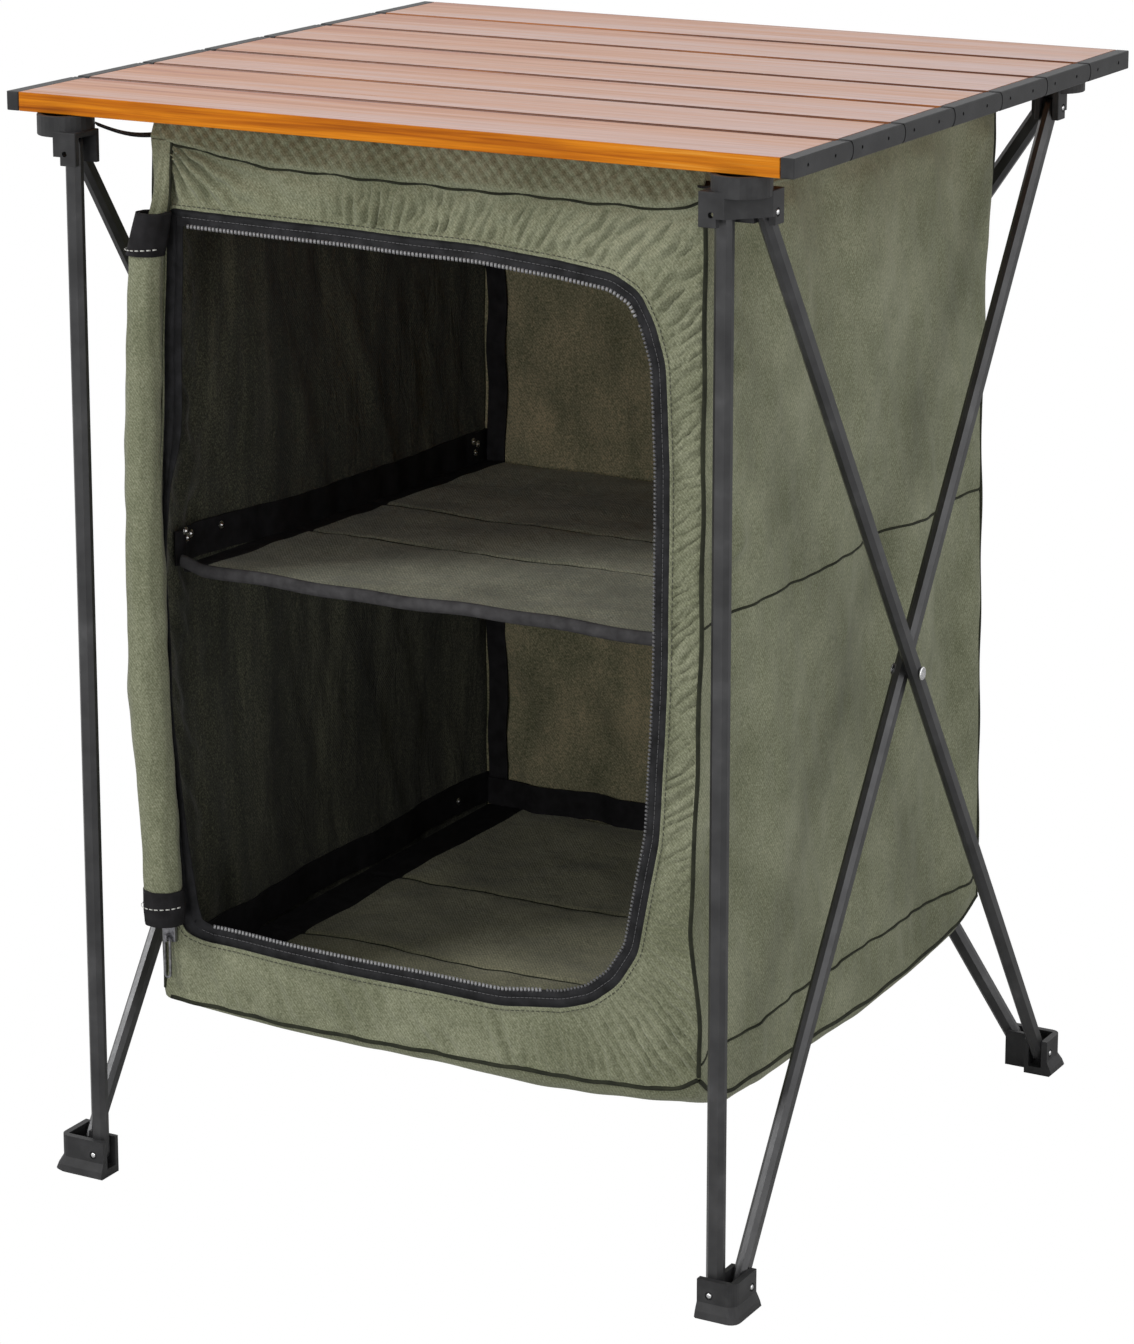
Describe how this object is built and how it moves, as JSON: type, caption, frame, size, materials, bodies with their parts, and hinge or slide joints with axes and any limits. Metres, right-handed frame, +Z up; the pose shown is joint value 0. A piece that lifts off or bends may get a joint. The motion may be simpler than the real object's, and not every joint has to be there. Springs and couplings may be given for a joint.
{
  "type": "folding camping cupboard",
  "caption": "Small folding cupboard: a roll-up slatted wooden top on a scissor frame of slim metal bars, with a hanging cloth cabinet, a shelf inside and a rolled-up zip door.",
  "frame": {"origin": "middle of the footprint of the bounding box, on the ground", "axes": "+X to the right seen from the door, +Y from the door to the back, +Z up"},
  "size_m": [0.5, 0.4754, 0.655],
  "materials": {
    "wood": "glossy varnished grain, warm brown",
    "moulded": "dark grey moulded nylon, fine texture",
    "tube": "black anodised, satin",
    "rivet": "bright, domed ends",
    "canvas": "olive green woven canvas",
    "webbing": "black woven tape",
    "board": "olive cloth over a stiff board",
    "zip_metal": "dark painted die-cast metal"
  },
  "bodies": {
    "base": {"foot_rear_left": "moulded"},
    "left_inner_bar": {"bar_left_inner": "tube", "centre_rivet_left": "rivet"},
    "left_outer_bar": {"bar_left_outer": "tube"},
    "front_left_bracket": {"bracket_front_left": "moulded", "bag_front": "canvas", "zip_tape": "webbing", "door_roll": "canvas", "door_hem_top": "webbing", "door_hem_bottom": "webbing"},
    "front_left_foot": {"foot_front_left": "moulded"},
    "rear_left_bracket": {"bracket_rear_left": "moulded", "bag_back": "canvas", "bag_left": "canvas", "bag_bottom": "canvas", "top_hem_and_straps": "canvas", "shelf_board": "board", "floor_board": "board", "shelf_webbing_left": "webbing", "floor_webbing": "webbing"},
    "back_outer_bar": {"bar_back_outer": "tube", "centre_rivet_back": "rivet"},
    "back_inner_bar": {"bar_back_inner": "tube"},
    "rear_right_bracket": {"bracket_rear_right": "moulded", "bag_right": "canvas", "shelf_webbing_right": "webbing"},
    "rear_right_foot": {"foot_rear_right": "moulded"},
    "right_outer_bar": {"bar_right_outer": "tube", "centre_rivet_right": "rivet"},
    "right_inner_bar": {"bar_right_inner": "tube"},
    "front_right_bracket": {"bracket_front_right": "moulded"},
    "front_right_foot": {"foot_front_right": "moulded"},
    "left_strut": {"strut_front_left": "tube"},
    "right_strut": {"strut_front_right": "tube"},
    "slider": {"zip_slider": "zip_metal"},
    "pull": {"zip_pull": "zip_metal"},
    "tabletop_slat_1": {"slat_1": "wood", "end_cap_left_1": "moulded", "end_cap_right_1": "moulded"},
    "tabletop_slat_2": {"slat_2": "wood", "end_cap_left_2": "moulded", "end_cap_right_2": "moulded"},
    "tabletop_slat_3": {"slat_3": "wood", "end_cap_left_3": "moulded", "end_cap_right_3": "moulded"},
    "tabletop_slat_4": {"slat_4": "wood", "end_cap_left_4": "moulded", "end_cap_right_4": "moulded"},
    "tabletop_slat_5": {"slat_5": "wood", "end_cap_left_5": "moulded", "end_cap_right_5": "moulded"},
    "tabletop_slat_6": {"slat_6": "wood", "end_cap_left_6": "moulded", "end_cap_right_6": "moulded"},
    "tabletop_slat_7": {"slat_7": "wood", "end_cap_left_7": "moulded", "end_cap_right_7": "moulded"}
  },
  "joints": [
    {"name": "fold", "type": "hinge", "parent": "base", "child": "left_inner_bar", "pos_m": [-0.21505, 0.19975, 0.014], "axis": [1, 0, 0], "range_deg": [-27, 0], "deforming": ["bag_back", "bag_left", "bag_bottom", "top_hem_and_straps", "shelf_board", "floor_board", "shelf_webbing_left", "floor_webbing", "bag_front", "zip_tape", "door_roll", "door_hem_top", "door_hem_bottom", "bag_right", "shelf_webbing_right"]},
    {"name": "left_cross", "type": "hinge", "parent": "left_inner_bar", "child": "left_outer_bar", "pos_m": [-0.2193, -0.00575, 0.31835], "axis": [1, 0, 0], "range_deg": [0, 55]},
    {"name": "front_left_bracket_pivot", "type": "hinge", "parent": "left_inner_bar", "child": "front_left_bracket", "pos_m": [-0.21505, -0.21125, 0.6227], "axis": [1, 0, 0], "range_deg": [0, 28]},
    {"name": "front_left_foot_pivot", "type": "hinge", "parent": "left_outer_bar", "child": "front_left_foot", "pos_m": [-0.22355, -0.21125, 0.014], "axis": [1, 0, 0], "range_deg": [-28, 0]},
    {"name": "rear_left_bracket_pivot", "type": "hinge", "parent": "left_outer_bar", "child": "rear_left_bracket", "pos_m": [-0.22355, 0.19975, 0.6227], "axis": [1, 0, 0], "range_deg": [-28, 0]},
    {"name": "back_foot_pivot", "type": "hinge", "parent": "base", "child": "back_outer_bar", "pos_m": [-0.2055, 0.2178, 0.014], "axis": [0, 1, 0], "range_deg": [-28, 0]},
    {"name": "back_cross", "type": "hinge", "parent": "back_outer_bar", "child": "back_inner_bar", "pos_m": [0, 0.21355, 0.31835], "axis": [0, 1, 0], "range_deg": [0, 55]},
    {"name": "rear_right_bracket_pivot", "type": "hinge", "parent": "back_outer_bar", "child": "rear_right_bracket", "pos_m": [0.2055, 0.2178, 0.6227], "axis": [0, 1, 0], "range_deg": [0, 28]},
    {"name": "rear_right_foot_pivot", "type": "hinge", "parent": "back_inner_bar", "child": "rear_right_foot", "pos_m": [0.2055, 0.2093, 0.014], "axis": [0, 1, 0], "range_deg": [-28, 0]},
    {"name": "right_foot_pivot", "type": "hinge", "parent": "rear_right_foot", "child": "right_outer_bar", "pos_m": [0.22355, 0.19975, 0.014], "axis": [1, 0, 0], "range_deg": [-28, 0]},
    {"name": "right_cross", "type": "hinge", "parent": "right_outer_bar", "child": "right_inner_bar", "pos_m": [0.2193, -0.00575, 0.31835], "axis": [1, 0, 0], "range_deg": [0, 55]},
    {"name": "front_right_bracket_pivot", "type": "hinge", "parent": "right_outer_bar", "child": "front_right_bracket", "pos_m": [0.22355, -0.21125, 0.6227], "axis": [1, 0, 0], "range_deg": [0, 28]},
    {"name": "front_right_foot_pivot", "type": "hinge", "parent": "right_inner_bar", "child": "front_right_foot", "pos_m": [0.21505, -0.21125, 0.014], "axis": [1, 0, 0], "range_deg": [-28, 0]},
    {"name": "left_strut_swing", "type": "hinge", "parent": "front_left_foot", "child": "left_strut", "pos_m": [-0.2075, -0.22505, 0.014], "axis": [0, 1, 0], "range_deg": [0, 18]},
    {"name": "right_strut_swing", "type": "hinge", "parent": "front_right_foot", "child": "right_strut", "pos_m": [0.2075, -0.22505, 0.014], "axis": [0, -1, 0], "range_deg": [0, 18]},
    {"name": "tabletop_lift", "type": "slide", "parent": "rear_left_bracket", "child": "tabletop_slat_7", "axis": [0, 0, 1], "range_m": [0, 0.3]},
    {"name": "slat_hinge_6", "type": "hinge", "parent": "tabletop_slat_7", "child": "tabletop_slat_6", "pos_m": [0, 0.17089, 0.6495], "axis": [-1, 0, 0], "range_deg": [0, 48]},
    {"name": "slat_hinge_5", "type": "hinge", "parent": "tabletop_slat_6", "child": "tabletop_slat_5", "pos_m": [0, 0.10404, 0.6495], "axis": [-1, 0, 0], "range_deg": [0, 48]},
    {"name": "slat_hinge_4", "type": "hinge", "parent": "tabletop_slat_5", "child": "tabletop_slat_4", "pos_m": [0, 0.03718, 0.6495], "axis": [-1, 0, 0], "range_deg": [0, 48]},
    {"name": "slat_hinge_3", "type": "hinge", "parent": "tabletop_slat_4", "child": "tabletop_slat_3", "pos_m": [0, -0.02968, 0.6495], "axis": [-1, 0, 0], "range_deg": [0, 48]},
    {"name": "slat_hinge_2", "type": "hinge", "parent": "tabletop_slat_3", "child": "tabletop_slat_2", "pos_m": [0, -0.09654, 0.6495], "axis": [-1, 0, 0], "range_deg": [0, 48]},
    {"name": "slat_hinge_1", "type": "hinge", "parent": "tabletop_slat_2", "child": "tabletop_slat_1", "pos_m": [0, -0.16339, 0.6495], "axis": [-1, 0, 0], "range_deg": [0, 48]},
    {"name": "zip_slide", "type": "slide", "parent": "front_left_bracket", "child": "slider", "axis": [1, 0, 0], "range_m": [0, 0.2]},
    {"name": "zip_pull_swing", "type": "hinge", "parent": "slider", "child": "pull", "pos_m": [-0.173, -0.19995, 0.14775], "axis": [-1, 0, 0], "range_deg": [0, 90]}
  ],
  "couplings": [
    {"joint": "left_cross", "follows": "fold", "ratio": -2},
    {"joint": "front_left_bracket_pivot", "follows": "fold", "ratio": -1},
    {"joint": "front_left_foot_pivot", "follows": "fold", "ratio": 1},
    {"joint": "rear_left_bracket_pivot", "follows": "fold", "ratio": 1},
    {"joint": "back_foot_pivot", "follows": "fold", "ratio": 1},
    {"joint": "back_cross", "follows": "fold", "ratio": -2},
    {"joint": "rear_right_bracket_pivot", "follows": "fold", "ratio": -1},
    {"joint": "rear_right_foot_pivot", "follows": "fold", "ratio": 1},
    {"joint": "right_foot_pivot", "follows": "fold", "ratio": 1},
    {"joint": "right_cross", "follows": "fold", "ratio": -2},
    {"joint": "front_right_bracket_pivot", "follows": "fold", "ratio": -1},
    {"joint": "front_right_foot_pivot", "follows": "fold", "ratio": 1}
  ]
}
